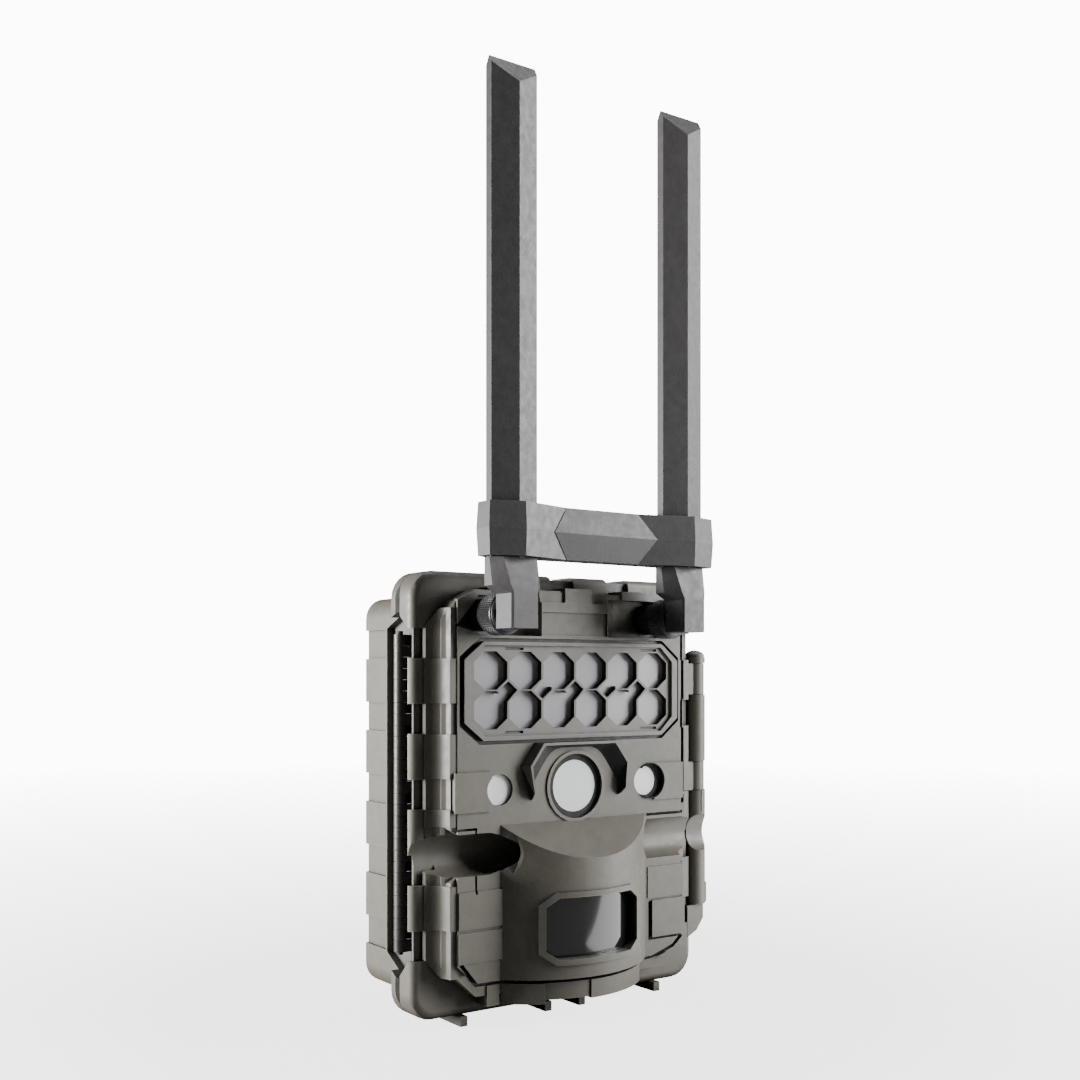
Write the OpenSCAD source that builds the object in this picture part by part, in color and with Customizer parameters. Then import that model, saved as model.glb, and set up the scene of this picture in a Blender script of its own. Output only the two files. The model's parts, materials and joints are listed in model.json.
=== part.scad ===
// Trail camera: a clamshell housing that opens on a long knuckle hinge, with a
// hinged side latch, an infrared window, a lens window under a hood, a motion
// sensor window, and two blade antennas tied together by a bracket.
// Every sub-part is drawn with X = 0 on the lens, Y = 0 on the front of the
// door's rim, the back towards +Y, and Z = 0 on the lower edge of the rims.
// place() then moves it so that the origin is the mouth of the tripod socket.

/* [Housing] */
// Width across the rims of the two shells
rim_w = 116.4; // [112:0.2:120]
// Height of the rims
rim_h = 142.5; // [140:0.5:146]
// Depth of the door's rim, from its front to the parting plane
door_rim_d = 9; // [8:0.5:10]
// Depth of the back housing behind the parting plane, without the strap lugs
back_d = 37; // [34:1:44]
// Height of the foot ribs below the rims
foot_h = 2.8; // [2:0.2:4]
// Distance of the tripod socket behind the front of the rim
socket_y = 22; // [20:1:26]

/* [Front] */
// Width of the raised front of the door
front_w = 98.6; // [96:0.2:100]
// Height of the raised front above the rim
front_d = 7.4; // [6.5:0.1:8]
// Radius of the bulging sensor housing
bulge_r = 41; // [38:0.5:46]
// Width of the bulging sensor housing
bulge_w = 60; // [56:1:62]
// Radius of the lock cable tunnel
tunnel_r = 6.6; // [4.5:0.1:6.8]
// Radius of the lens opening
lens_r = 10.75; // [10:0.05:11]
// Radius of the round side windows
port_r = 5.1; // [4.5:0.1:5.4]
// Pitch of the infrared cells
cell_pitch = 13.36; // [13:0.01:13.6]

/* [Antennas] */
// Half the distance between the antennas
antenna_x = 34.2; // [33:0.1:35]
// Height of the antenna tips above the rim's lower edge
antenna_top = 299; // [260:1:320]
// Half the width of an antenna blade
blade_w = 8.5; // [8:0.1:9]
// Lower face of the antenna bracket
bracket_z = 145.8; // [145.6:0.1:150]
// Height of the antenna bracket
bracket_h = 16.6; // [14:0.2:20]

/* [Hinge and latch] */
// Radius of the hinge knuckles
knuckle_r = 2.1; // [2:0.1:2.3]
// Number of knuckle pairs along the hinge
knuckle_pairs = 14; // [12:1:14]
// Radius of the hinge and latch pins
pin_r = 0.9; // [0.8:0.05:1]
// Radius of the latch's barrel
barrel_r = 3.9; // [3.6:0.1:4]

/* [Batteries] */
// Radius of a battery cell
cell_r = 7.05; // [6.9:0.05:7.15]
// Length of a battery cell
cell_len = 50; // [48:0.5:51]

/* [Hidden] */
$fn = 48;
eps = 0.01;
fit = 0.06;
thread_r = 3.175;
insert_r = 5;
half_w = rim_w / 2;
front_x = front_w / 2;
door_back = door_rim_d - 0.15;
body_front = door_rim_d + 0.15;
back_y = door_rim_d + back_d;
band_pitch = 23.8;
band_h = 9.4;
band_mid = 71.8;
band_depth = 1.6;
border_y = -(front_d - 1);
face_y = -front_d;
fillet_x = 47.9;
fillet_r = 6;
channel_y = -4.3;
channel_z = 52.5;
mouth_x = -34;
tunnel_end = 30.4;
lens_z = 72.4;
port_x = 30.2;
port_z = 72.6;
cell_rows = [98.1, 110.75];
cell_size = [12.4, 12.2];
filter_y = -5.2;
ir_mid = (cell_rows[0] + cell_rows[1]) / 2;
bulge_cy = bulge_r - 20.4;
pir_z = 28;
pir_r = bulge_r - 2.7;
hinge_x = -half_w + 1;
hinge_y = door_rim_d;
knuckle_pitch = 7.2;
knuckle_z = 21.5;
latch_x = half_w + 3.2;
latch_y = 2.4;
latch_low = 25.8;
latch_high = 118.3;
jack_z = 128.5;
block_back = -19.2;
block_front = -28.2;
block_z = 123.7;
neck_z = 136.8;
stub_end = -13.2;
blade_y = -22;
inner_x = 48.5;
panel_y = [6.8, 8.6];
tray_x = 45;
tray_z = [14.7, 126.3];
tray_y = [21, back_y - 6.2];
tray_wall = 1.6;
tray_mid = (tray_z[0] + tray_z[1]) / 2;
pockets = [[tray_z[0] + tray_wall, tray_mid - tray_wall / 2], [tray_mid + tray_wall / 2, tray_z[1] - tray_wall]];
stack_y = tray_y[1] - tray_wall - cell_r - 0.1;
column_pitch = 2 * cell_r + 0.3;
button_x = [-26, -13, 0, 13, 26];
button_z = 76;

// Moves a sub-part from the drawing frame to the part's origin
module place() {
    translate([0, -socket_y, foot_h]) children();
}

// Keeps a shape and adds its mirror image across X = 0
module both() {
    children();
    mirror([1, 0, 0]) children();
}

// Prism of an X-Z outline between two depths
module prism_y(points, y0, y1) {
    translate([0, y1, 0]) rotate([90, 0, 0]) linear_extrude(y1 - y0) polygon(points);
}

// Prism of a Y-Z outline between two X positions
module prism_x(points, x0, x1) {
    translate([x0, 0, 0]) rotate([90, 0, 90]) linear_extrude(x1 - x0) polygon(points);
}

// Prism of an X-Y outline between two heights
module prism_z(points, z0, z1) {
    translate([0, 0, z0]) linear_extrude(z1 - z0) polygon(points);
}

// Box from its lowest to its highest corner
module box(low, high) {
    translate(low) cube(high - low);
}

// Round bar along Y
module bar_y(x, z, r, y0, y1) {
    translate([x, y1, z]) rotate([90, 0, 0]) cylinder(r = r, h = y1 - y0);
}

// Round bar along X
module bar_x(y, z, r, x0, x1) {
    translate([x0, y, z]) rotate([0, 90, 0]) cylinder(r = r, h = x1 - x0);
}

// Round bar along Z
module bar_z(x, y, r, z0, z1) {
    translate([x, y, z0]) cylinder(r = r, h = z1 - z0);
}

// Rectangle with its four corners cut off
function octagon(x0, x1, z0, z1, cx, cz) = [
    [x0 + cx, z0], [x1 - cx, z0], [x1, z0 + cz], [x1, z1 - cz],
    [x1 - cx, z1], [x0 + cx, z1], [x0, z1 - cz], [x0, z0 + cz]];

// Rectangle with rounded corners of n steps each
function rounded(x0, x1, z0, z1, r, n = 6) = [
    for (k = [0 : 3], i = [0 : n])
        let (a = 90 * k + 90 * i / n,
             cx = k == 0 || k == 3 ? x1 - r : x0 + r,
             cz = k < 2 ? z1 - r : z0 + r)
        [cx + r * cos(a), cz + r * sin(a)]];

// Centre heights of the recessed bands down the sides, and across the top
function band_z() = [for (i = [-2 : 2]) band_mid + i * band_pitch];
function band_x() = [for (i = [-1 : 1]) i * band_pitch];

// Outline of the rims of both shells, pulled in by d
function rim(d = 0) = rounded(-half_w + d, half_w - d, d, rim_h - d, 8.5 - d / 2);

// Side recess that both shells leave for the hinge
module hinge_pocket() {
    prism_x([[2.5, 19], [2.5, 124], [9, 129.5], [21, 124.5], [21, 19], [9, 12.5]],
        -half_w - 3, -53);
}

// Groove along the parting line, so that the rims clear each other behind the hinge axis
module parting_groove() {
    prism_z([[hinge_x + 0.1, hinge_y], [-half_w - 1, hinge_y - 2.8], [-half_w - 1, hinge_y + 2.8]], -1, rim_h + 1);
}

// Bands cut into the sides and top of a rim from y0 to y1
module rim_bands(y0, y1, front_cut) {
    both() for (z = band_z()) {
        box([half_w - band_depth, y0, z - band_h / 2], [half_w + 1, y1, z + band_h / 2]);
        if (front_cut)
            box([front_x, -1, z - band_h / 2], [half_w + 1, band_depth, z + band_h / 2]);
    }
    for (x = band_x()) {
        box([x - band_h / 2, y0, rim_h - 1.3], [x + band_h / 2, y1, rim_h + 1]);
        if (front_cut)
            box([x - band_h / 2, -1, 136.5], [x + band_h / 2, band_depth, rim_h + 1]);
    }
}

// Foot ribs under a shell, reaching up to height z1
module foot_ribs(y0, y1, z1) {
    both() for (x = [7, 40]) box([x - 1.3, y0, -foot_h], [x + 1.3, y1, z1]);
}

// Hinge knuckles with their webs, on the side of the parting plane given by side
module knuckles(side) {
    shift = side < 0 ? 0 : knuckle_pitch / 2;
    for (i = [0 : knuckle_pairs - 1]) {
        z = knuckle_z + i * knuckle_pitch + shift;
        difference() {
            union() {
                bar_z(hinge_x, hinge_y, knuckle_r, z, z + knuckle_pitch / 2 - 0.1);
                box([hinge_x, side < 0 ? hinge_y - knuckle_r : hinge_y + 0.1, z],
                    [-52.5, side < 0 ? hinge_y - 0.1 : hinge_y + knuckle_r,
                     z + knuckle_pitch / 2 - 0.1]);
            }
            bar_z(hinge_x, hinge_y, pin_r + fit, z - 1, z + knuckle_pitch);
        }
    }
}

// --- Back housing and what it holds ---

module back_shell() {
    difference() {
        union() {
            difference() {
                prism_y(rim(), body_front, door_rim_d + 4.2);
                rim_bands(body_front - 1, door_rim_d + 5, false);
                parting_groove();
            }
            difference() {
                prism_y(rounded(-55.5, 55.5, 6, 135, 7), door_rim_d + 4, back_y - 10);
                both() for (z = band_z())
                    box([54.5, 22, z - band_h / 2], [56, back_y, z + band_h / 2]);
            }
            hull() {
                prism_y(rounded(-54.4, 54.4, 6, 135, 7), back_y - 10 - eps, back_y - 9.99);
                prism_y(rounded(-46, 46, 14, 127, 5), back_y - 0.1, back_y);
            }
        }
        hinge_pocket();
        prism_y(rounded(-inner_x, inner_x, 9.5, 131.5, 4), body_front - 1, back_y - 10);
        prism_y(rounded(-45.2, 45.2, 14.5, 126.5, 4), back_y - 11, back_y - 6);
        box([-40, back_y - 7, 20], [40, back_y - 3, 121]);
    }
}

// Vertical strap lug with serrated edge and two strap slots
module strap_lug() {
    teeth = [for (i = [0 : 12], k = [0, 1]) [back_y + 6.6 + 1.8 * k, 22 + 8 * i + 4 * k]];
    difference() {
        prism_x(concat([[back_y - 1, 18]], teeth, [[back_y + 6.6, 126 - 4], [back_y - 1, 123]]),
            30, 35.5);
        for (z = [34, 85]) box([29, back_y + 0.8, z], [37, back_y + 5.8, z + 27]);
    }
}

module back_housing() {
    color([0.27, 0.26, 0.22]) place() difference() {
        union() {
            back_shell();
            knuckles(1);
            foot_ribs(body_front + 0.2, 34, 6.5);
            bar_z(0, socket_y, 9, -foot_h, 10);
            both() strap_lug();
        }
        bar_z(0, socket_y, insert_r + 0.02, -foot_h - 1, 6.7);
    }
}

module tripod_insert() {
    color([0.72, 0.6, 0.33]) place() difference() {
        bar_z(0, socket_y, insert_r, -foot_h, 6.7);
        bar_z(0, socket_y, thread_r, -foot_h - 1, 5.2);
    }
}

module hinge_pin() {
    color([0.45, 0.45, 0.46]) place()
        bar_z(hinge_x, hinge_y, pin_r, knuckle_z - 1, knuckle_z + knuckle_pairs * knuckle_pitch + 1);
}

module battery_tray() {
    color([0.09, 0.09, 0.1]) place() difference() {
        prism_y(rounded(-tray_x, tray_x, tray_z[0], tray_z[1], 4.5), tray_y[0], tray_y[1]);
        for (span = pockets)
            box([-tray_x + tray_wall, tray_y[0] - 1, span[0]],
                [tray_x - tray_wall, tray_y[1] - tray_wall, span[1]]);
    }
}

// Places one child at the middle of each battery cell, every other one upside down
module each_cell() {
    for (i = [0 : 5], k = [0, 1])
        translate([(i - 2.5) * column_pitch, stack_y, (pockets[k][0] + pockets[k][1]) / 2])
            rotate([(i + k) % 2 * 180, 0, 0]) children();
}

module battery_cells() {
    color([0.62, 0.63, 0.65]) place() each_cell() {
        translate([0, 0, -cell_len / 2 - 0.2]) cylinder(r = cell_r, h = cell_len - 1.5);
        translate([0, 0, cell_len / 2 - 1.75]) cylinder(r = 2.7, h = 1.5);
    }
}

module contact_springs() {
    color([0.75, 0.75, 0.77]) place() each_cell()
        translate([0, 0, -cell_len / 2 - 1.4]) difference() {
            cylinder(r = 3.2, h = 1.1);
            translate([0, 0, -1]) cylinder(r = 2.2, h = 4);
        }
}

module contact_plates() {
    color([0.7, 0.7, 0.72]) place()
        for (i = [-2 : 2 : 2], z = [pockets[0][0], pockets[1][1] - 0.3])
            box([i * column_pitch - 13, stack_y - 5, z], [i * column_pitch + 13, stack_y + 5, z + 0.3]);
}

// --- Front cover, which is the door's shell ---

// Stepped border of the raised front
function border_outline() = concat(
    [[-38.5, 7.4], [38.5, 7.4], [front_x, 17.5]],
    [[front_x, 127], [46, 132.5], [38.5, 136.5]],
    [[-38.5, 136.5], [-46, 132.5], [-front_x, 127], [-front_x, 17.5]]);

// Raised face inside the border
function face_outline() = [[-38.5, 11], [38.5, 11], [45.9, 18], [45.9, 133.2], [-45.9, 133.2], [-45.9, 18]];

// Plate under the raised face, with sloping sides
module border() {
    difference() {
        prism_y(border_outline(), border_y, 2.5);
        both() prism_z([[46.3, -6.5], [46.3, -9], [52, -9], [52, -0.3]], 0, 140);
    }
}

// Concave sides of the border between two heights, moved out by d
module side_fillet(low, high, d) {
    arc = [for (a = [0 : 17 : 85]) [fillet_x + d + fillet_r * (1 - cos(a)), fillet_r * sin(a) - fillet_r - 0.4]];
    prism_z(concat([[45.5, 0.5], [45.5, -6.5 - d], [fillet_x + d, -6.5 - d]], arc, [[fillet_x + fillet_r, 0.5]]),
        low, high);
}

// Concave sides with thicker lengths along them, and blocks along the top of the border
module border_blocks() {
    intersection() {
        both() side_fillet(12, 132, 0);
        prism_y(octagon(-55, 55, 14, 130.5, 6, 7.5), -12, 2);
    }
    both() for (i = [0, 2, 3]) {
        z = band_mid + (i - 1.5) * band_pitch;
        side_fillet(z - 7, z + 7, 0.6);
    }
    both() side_fillet(61.6, 67, 0.6);
    both() box([20, -7.1, 132.5], [31, 0.5, 137.8]);
    box([-14.3, -6.8, 132.5], [-5.7, 0.5, 137]);
    box([-4, -7.2, 132.5], [7, 0.5, 138]);
}

// Skirt below the bulging housing: three lengths from x0 to x1 down to height low, pulled in by d
module skirt() {
    for (part = [[-30.5, -17.6, 3.8, 1.2], [-17.2, -2.4, 5, 2], [-2, 26, 4.4, 1.5]])
        intersection() {
            bar_z(0, bulge_cy, bulge_r - part[3], part[2], 10.4);
            box([part[0], -24, 3], [part[1], 2, 12]);
        }
    box([-34.6, -6.9, 3.8], [-30, 2, 11]);
}

// Dark seams around the raised face and beside its lower right pad
module face_seams() {
    under = [[-45.2, 18], [-38.9, 10.5], [33, 10.4], [43.6, 13.2], [51, 19.4],
        [50.2, 21], [42.8, 14.9], [33, 11.7], [-38.4, 11.8], [-44, 18.6]];
    prism_y(under, -30, -4.9);
    box([46.6, -9, 64], [47.9, -4.9, 133]);
    box([47.5, -9, 17.5], [48.7, -4.9, 43]);
    box([30.4, -9, 60.4], [47.9, -5.4, 61.4]);
    box([31.5, -9.5, 17.2], [32.6, -5.8, 30.5]);
    box([31.5, -9.5, 17.2], [47.5, -5.8, 18.2]);
    box([-47.4, -9, 60.2], [-38.6, -5.4, 61]);
    box([-39.4, -9, 57], [-38.6, -4.9, 61]);
    box([-39.4, -9, 40], [-38.6, -4.9, 46.5]);
}

// Pads that stand a little proud of the raised face
module face_pads() {
    pad_y = face_y - 0.8;
    both() box([33.6, pad_y, 66], [47.3, face_y + 1, 78.6]);
    box([-45.6, pad_y + 0.3, 29.3], [-29, face_y + 1, 41]);
    box([-45.6, pad_y + 0.3, 18.6], [-29, face_y + 1, 28.2]);
    box([31, pad_y + 0.5, 31.8], [47.4, face_y + 1, 42.6]);
    box([32.6, pad_y, 18.2], [47.4, face_y + 1, 31]);
}

// Bulging housing of the motion sensor, with a sloping top
module sensor_bulge() {
    difference() {
        intersection() {
            bar_z(0, bulge_cy, bulge_r, 11.7, 61.4);
            box([-bulge_w / 2, -24, 10], [bulge_w / 2, -5, 62]);
        }
        prism_x([[face_y, 61.4], [-25, 46], [-25, 70], [face_y, 70]], -40, 40);
        translate([mouth_x, -8.6, channel_z]) rotate([90, 0, 0])
            cylinder(r1 = tunnel_r, r2 = tunnel_r + 3, h = 1.65);
        bar_y(mouth_x, channel_z, tunnel_r + 3, -17, -10.2);
    }
}

// Octagonal lip around the motion sensor's window
module pir_lip() {
    intersection() {
        difference() {
            bar_z(0, bulge_cy, bulge_r + 0.9, 15, 41);
            bar_z(0, bulge_cy, bulge_r - 1.5, 14, 42);
        }
        prism_y(octagon(-20.6, 20.6, 16.3, 39.7, 5.4, 3.8), -25, -5);
    }
}

// Outline of the hood's crest, pulled in by d, with its open end at height low
function hood_crest(d, low) = [[-18.6 + d, low], [-20.4 + d, 79.8], [-15 + d / 2, 87.3 - d],
    [15 - d / 2, 87.3 - d], [20.4 - d, 79.8], [18.6 - d, low]];

// Hood over the lens: a thin crest on sloping sides, whose legs run out to points beside the lens
module lens_hood() {
    crest_y = face_y - 3.4;
    foot = [[-18.2, 68.6], [-22.2, 80], [-15.8, 88.4], [15.8, 88.4], [22.2, 80], [18.2, 68.6]];
    difference() {
        intersection() {
            hull() {
                prism_y(foot, face_y - 0.1, face_y + 1);
                prism_y(hood_crest(0, 70.4), crest_y, crest_y + 0.1);
            }
            prism_x([[face_y + 1, 68], [face_y - 0.2, 68], [crest_y - 0.1, 71.4], [crest_y - 0.1, 90],
                [face_y + 1, 90]], -23, 23);
        }
        hull() {
            bar_y(0, lens_z, 12.3, face_y - 0.1, face_y + 2);
            prism_y([[-16.6, 62], [16.6, 62], [16.6, 69.6], [-16.6, 69.6]], face_y - 0.1, face_y + 2);
            prism_y(hood_crest(0.9, 60), crest_y - 0.2, crest_y - 0.1);
        }
    }
}

// Lip around the lens opening
module lens_lip() {
    difference() {
        bar_y(0, lens_z, lens_r + 1.1, face_y - 0.5, face_y + 0.5);
        bar_y(0, lens_z, lens_r, face_y - 1, face_y + 1);
    }
}

// Knuckles and lug on the door that carry the latch pins
module latch_lugs() {
    for (z = [[67.4, 77.7], [102.2, 113.4]]) {
        bar_z(latch_x, latch_y, barrel_r - 0.4, z[0], z[1]);
        box([half_w - 4, latch_y - 2.4, z[0]], [latch_x, latch_y + 2.2, z[1]]);
    }
    prism_y([[56, 14], [60.4, 16.2], [latch_x + 2.2, 20.5], [latch_x + 2.2, latch_low - 0.3],
        [56, latch_low - 0.3]], latch_y - 2.4, latch_y + 3);
}

// Scoop that lets the antenna connector reach the face, right side
module connector_scoop() {
    prism_y([[24, 122], [36, 122], [46.5, 124.8], [37.5, 134.8], [24, 134.8]], -20, -1.5);
    intersection() {
        bar_z(24, -13.5, 12, 122, 134.8);
        box([10, -20, 120], [24.5, -1, 136]);
    }
}

// Channel and tunnel for a lock cable, right across the front
module cable_channel() {
    slot_r = tunnel_r + 0.1;
    bar_x(channel_y, channel_z, tunnel_r, mouth_x - 1, tunnel_end + eps);
    bar_x(channel_y, channel_z, slot_r, -half_w - 4, mouth_x);
    bar_y(mouth_x, channel_z, tunnel_r, -30, channel_y);
    box([-half_w - 4, -20, channel_z - slot_r], [mouth_x, channel_y, channel_z + slot_r]);
    bar_x(channel_y - 0.6, channel_z, tunnel_r + 0.7, tunnel_end, half_w + 10);
    prism_y([[-60, 42], [-50, 42.8], [-45.6, channel_z - slot_r], [-45.6, channel_z + slot_r],
        [-50, 62.2], [-60, 63]], -20, -4);
}

// Space inside the door for the boards
module door_cavity() {
    box([-46.4, -4.4, 63], [46.4, 5, 119.3]);
    prism_y(octagon(-46.4, 46.4, 10.5, 42, 6, 6), -4.4, 5);
    prism_y(rounded(-inner_x, inner_x, 9.5, 131.5, 4), 3.9, door_rim_d + 1);
    intersection() {
        bar_z(0, bulge_cy, bulge_r - 2.6, 14, 42);
        box([-25, -20, 13], [25, -3, 43]);
    }
}

// Openings through the front wall
module front_openings() {
    prism_y(octagon(-45.1, 45.1, 87.2, 121.2, 7.5, 6), -12, -5.9);
    prism_y(octagon(-41.5, 41.5, 89.9, 118.7, 5, 5), -6.5, -3);
    bar_y(0, lens_z, lens_r, -14, -3.4);
    bar_y(0, lens_z, 8.9, -5, 0);
    both() bar_y(port_x, port_z, port_r, -12, -5.6);
    bar_y(port_x + 1.8, port_z, port_r + 1.1, -12, -6.3);
    both() bar_y(port_x, port_z, 3.4, -7, 0);
    prism_y(octagon(-18.6, 18.6, 18.1, 37.9, 4.2, 2.9), -25, -8);
    both() bar_y(antenna_x, jack_z, 3.2, -4, 6);
    bar_y(-23.5, 3.4, 1.05, -1, 3);
}

module front_cover() {
    color([0.27, 0.26, 0.22]) place() difference() {
        union() {
            difference() {
                union() {
                    prism_y(rim(), 2.6, door_back);
                    hull() for (step = [[0, 2.6], [0.4, 1.4], [1.2, 0.5], [2.6, 0]])
                        prism_y(rim(step[1]), step[0], step[0] + eps);
                }
                rim_bands(-1, door_rim_d + 1, true);
                parting_groove();
                hinge_pocket();
                bar_z(latch_x, latch_y, barrel_r + 0.4, latch_low - 0.3, latch_high + 0.3);
            }
            border();
            prism_y(face_outline(), face_y, border_y + 1);
            border_blocks();
            face_pads();
            skirt();
            sensor_bulge();
            pir_lip();
            lens_hood();
            lens_lip();
            latch_lugs();
            knuckles(-1);
            foot_ribs(-1.7, door_back, 0.4);
        }
        door_cavity();
        front_openings();
        both() connector_scoop();
        cable_channel();
        face_seams();
        box([-13.4, -9, 122.3], [13.4, face_y + 0.7, 130]);
        difference() {
            prism_y(rounded(-52, 52, 6, 135.5, 5), door_rim_d - 2, door_rim_d + 1);
            prism_y(rounded(-49.7, 49.7, 8.3, 133.2, 4.5), 5, door_rim_d + 2);
        }
        bar_z(latch_x, latch_y, pin_r + fit, 60, 130);
        bar_z(latch_x, latch_y, pin_r + fit, 17, 44);
    }
}

module door_gasket() {
    color([0.05, 0.05, 0.05]) place() difference() {
        prism_y(rounded(-51.9, 51.9, 6.1, 135.4, 4.9), door_rim_d - 2, door_rim_d);
        prism_y(rounded(-49.8, 49.8, 8.2, 133.3, 4.6), door_rim_d - 3, door_rim_d + 1);
    }
}

// --- Infrared window ---

// Outline of one infrared cell at column i and row j
module cell_outline(i, j) {
    x = (i - 2.5) * cell_pitch;
    z = cell_rows[j];
    polygon(octagon(x - cell_size[0] / 2, x + cell_size[0] / 2,
        z - cell_size[1] / 2, z + cell_size[1] / 2, 4.1, 3.35));
}

// Small diamond between four cells, which opens into the cell below on the left or above on the right
module diamond_outline(i) {
    turn = i % 2 == 0 ? 0 : 180;
    translate([(i - 2) * cell_pitch, ir_mid]) rotate(turn)
        polygon([[-3.6, 0], [-3.5, -1.6], [-0.8, -4], [3.4, 0.1], [0, 2.8]]);
}

module ir_grid() {
    color([0.36, 0.35, 0.32]) place() difference() {
        union() {
            difference() {
                prism_y(octagon(-43.9, 43.9, 88.4, 120, 7.2, 5.8), -8.3, -5.9);
                prism_y(octagon(-41.4, 41.4, 89.8, 118.8, 5.2, 5), -9, -7.3);
            }
            prism_y(octagon(-41.2, 41.2, 90.2, 118.4, 5, 4.8), -7.3, filter_y);
        }
        translate([0, -4, 0]) rotate([90, 0, 0]) linear_extrude(5) {
            for (i = [0 : 5], j = [0, 1]) cell_outline(i, j);
            for (i = [0 : 4]) diamond_outline(i);
        }
        for (x = [-24.5, 31.5], z = [90.5, 117.4]) box([x - 3.5, -9, z], [x + 3.5, -6.6, z + 0.8]);
    }
}

module ir_filter() {
    color([0.42, 0.41, 0.43]) place()
        prism_y(octagon(-41, 41, 90.4, 118.2, 5, 4.8), filter_y, filter_y + 1.4);
}

module led_board() {
    color([0.08, 0.2, 0.12]) place() difference() {
        box([-42, 0, 88], [42, 1.4, 119]);
        both() bar_y(39, 90.5, 1.2, -1, 3);
    }
}

module ir_leds() {
    color([0.25, 0.2, 0.25]) place()
        for (i = [0 : 5], j = [0, 1])
            bar_y((i - 2.5) * cell_pitch, cell_rows[j], 2.5, -2.6, 0);
}

// --- Lens and windows ---

module lens_bezel() {
    color([0.03, 0.03, 0.03]) place() difference() {
        bar_y(0, lens_z, lens_r - 0.05, -6.6, -3.4);
        bar_y(0, lens_z, 8.65, -8, -5);
        bar_y(0, lens_z, 7.6, -8, -3);
    }
}

module lens_glass() {
    color([0.7, 0.72, 0.75]) place() bar_y(0, lens_z, 8.6, -6.5, -5);
}

module lens_barrel() {
    color([0.05, 0.05, 0.06]) place() difference() {
        union() {
            bar_y(0, lens_z, 7, -4.4, 0.4);
            bar_y(0, lens_z, 8, 0.4, 2.4);
        }
        bar_y(0, lens_z, 5, -5, -1);
    }
}

module image_sensor_board() {
    color([0.08, 0.2, 0.12]) place() box([-12, 2.4, 64], [12, 3.6, 84]);
}

module port_window(side) {
    color([0.75, 0.76, 0.76]) place() bar_y(side * port_x, port_z, port_r - 0.1, -6.2, -5.6);
}

module left_port_window() {
    port_window(-1);
}

module right_port_window() {
    port_window(1);
}

module light_sensor() {
    color([0.2, 0.2, 0.22]) place() {
        box([-port_x - 2.2, -3.4, port_z - 2.2], [-port_x + 2.2, -1.2, port_z + 2.2]);
        box([-port_x - 5, -1.2, port_z - 5], [-port_x + 5, -0.2, port_z + 5]);
    }
}

module status_led() {
    color([0.6, 0.1, 0.1]) place() {
        bar_y(port_x, port_z, 2.4, -3.4, -1.2);
        box([port_x - 5, -1.2, port_z - 5], [port_x + 5, -0.2, port_z + 5]);
    }
}

module pir_window() {
    color([0.03, 0.03, 0.035]) place() intersection() {
        difference() {
            bar_z(0, bulge_cy, pir_r, 15.2, 40.8);
            bar_z(0, bulge_cy, pir_r - 1.2, 14, 42);
        }
        box([-21.5, -19, 14], [21.5, -6, 42]);
    }
}

module pir_sensor() {
    color([0.6, 0.6, 0.62]) place() {
        bar_y(0, pir_z, 4.6, -6, -1.6);
        box([-9, -1.6, pir_z - 9], [9, -0.4, pir_z + 9]);
    }
}

// --- Boards and the inner control panel ---

module main_board() {
    color([0.07, 0.22, 0.13]) place() difference() {
        box([-44, 4.6, 14], [44, 5.8, 125]);
        for (x = [-40, 40], z = [20, 72, 122]) bar_y(x, z, 1.4, 4, 7);
    }
}

module modem_board() {
    color([0.1, 0.16, 0.3]) place() box([-31, 5.8, 24], [-3, 6.7, 46]);
}

module inner_panel() {
    color([0.1, 0.1, 0.1]) place() difference() {
        union() {
            prism_y(rounded(-47.8, 47.8, 10.5, 130.5, 4), panel_y[0], panel_y[1]);
            box([-24, panel_y[1] - 0.2, 88], [24, panel_y[1] + 0.8, 119]);
        }
        box([-21.5, 5, 90.5], [21.5, 10, 116.5]);
        for (x = button_x) bar_y(x, button_z, 3.6, 5, 11);
        box([-36.2, 5, 52.8], [-23.8, 10, 57.2]);
        for (x = [-40, 40], z = [20, 72, 122]) bar_y(x, z, 1.5, 5, 10);
    }
}

module panel_screws() {
    color([0.5, 0.5, 0.52]) place() for (x = [-40, 40], z = [20, 72, 122]) {
        bar_y(x, z, 1.35, 4.1, panel_y[1]);
        bar_y(x, z, 2.6, panel_y[1], panel_y[1] + 1.2);
    }
}

module display() {
    color([0.35, 0.42, 0.4]) place() box([-21.4, panel_y[0] + 0.2, 90.6], [21.4, panel_y[1] + 0.4, 116.4]);
}

module card_slot() {
    color([0.65, 0.65, 0.67]) place() difference() {
        box([8, panel_y[1], 23], [38, 12.3, 50]);
        box([6, 9.4, 24.4], [36.6, 11.7, 48.6]);
    }
}

module memory_card() {
    color([0.1, 0.1, 0.12]) place() difference() {
        box([4.4, 9.5, 24.5], [36.4, 11.6, 48.5]);
        prism_y([[36.8, 48.8], [36.8, 45.6], [33.6, 48.8]], 9, 12);
    }
}

module power_switch() {
    color([0.55, 0.55, 0.55]) place() box([-36.1, 7, 53], [-30.5, 10.2, 57]);
}

// Push button number i of the control panel
module push_button(i) {
    color([0.3, 0.3, 0.31]) place() {
        bar_y(button_x[i], button_z, 3.5, 7.4, 9.9);
    }
}

module button_1() {
    push_button(0);
}

module button_2() {
    push_button(1);
}

module button_3() {
    push_button(2);
}

module button_4() {
    push_button(3);
}

module button_5() {
    push_button(4);
}

// --- Antennas ---

module antenna_jacks() {
    color([0.75, 0.62, 0.3]) place() both() {
        bar_y(antenna_x, jack_z, 3.1, -12.9, 5);
    }
}

module coax_leads() {
    color([0.12, 0.1, 0.09]) place() both() {
        bar_y(antenna_x, jack_z, 1, 5, 6.2);
        bar_x(6.2, jack_z, 0.5, 24, antenna_x);
    }
}

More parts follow.
